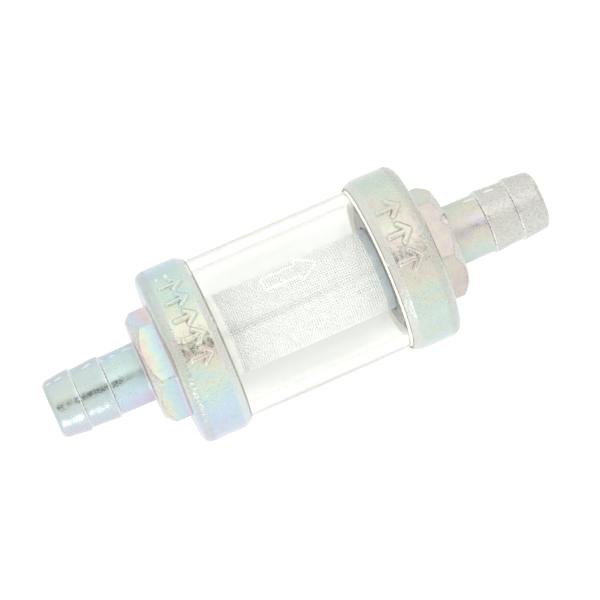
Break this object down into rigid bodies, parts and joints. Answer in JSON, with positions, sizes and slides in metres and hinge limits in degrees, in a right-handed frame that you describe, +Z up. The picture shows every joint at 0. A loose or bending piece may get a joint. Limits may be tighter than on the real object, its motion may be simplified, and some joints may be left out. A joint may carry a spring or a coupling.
{
  "type": "fuel filter",
  "caption": "In-line fuel filter: a glass bowl clamped between cast end caps, each with a hexagon and a barbed hose nipple, around a gauze element on a hollow stud.",
  "frame": {"origin": "middle of the filter on its flow axis, half way between the ends of the nipples", "axes": "+X along the flow axis, downstream from the inlet nipple to the outlet nipple; +Z up, square to an upward flat of each hexagon"},
  "size_m": [0.07, 0.0242, 0.0242],
  "materials": {
    "zinc": "satin",
    "steel": "satin",
    "glass": "gloss",
    "rubber": "matte",
    "gauze": "matte",
    "nylon": "satin",
    "collar": "satin"
  },
  "bodies": {
    "core": {"tie_stud": "steel", "glass_tube": "glass", "element_gauze": "gauze", "element_cage": "nylon", "element_inlet_plug": "nylon", "element_outlet_collar": "collar", "element_washer": "rubber"},
    "inlet_seal": {"inlet_gasket": "rubber"},
    "inlet_end": {"inlet_cap": "zinc"},
    "outlet_seal": {"outlet_gasket": "rubber"},
    "outlet_end": {"outlet_cap": "zinc"}
  },
  "joints": [
    {"name": "inlet_cap_travel", "type": "slide", "parent": "core", "child": "inlet_seal", "axis": [-1, 0, 0], "range_m": [0, 0.00501]},
    {"name": "inlet_cap_screw", "type": "hinge", "parent": "inlet_seal", "child": "inlet_end", "pos_m": [-0.02, 0, 0], "axis": [-1, 0, 0], "range_deg": [0, 1440]},
    {"name": "outlet_cap_travel", "type": "slide", "parent": "core", "child": "outlet_seal", "axis": [1, 0, 0], "range_m": [0, 0.00501]},
    {"name": "outlet_cap_screw", "type": "hinge", "parent": "outlet_seal", "child": "outlet_end", "pos_m": [0.02, 0, 0], "axis": [1, 0, 0], "range_deg": [0, 1440]}
  ],
  "couplings": [
    {"joint": "inlet_cap_travel", "follows": "inlet_cap_screw", "m_per_rad": 0.00019894},
    {"joint": "outlet_cap_travel", "follows": "outlet_cap_screw", "m_per_rad": 0.00019894}
  ]
}
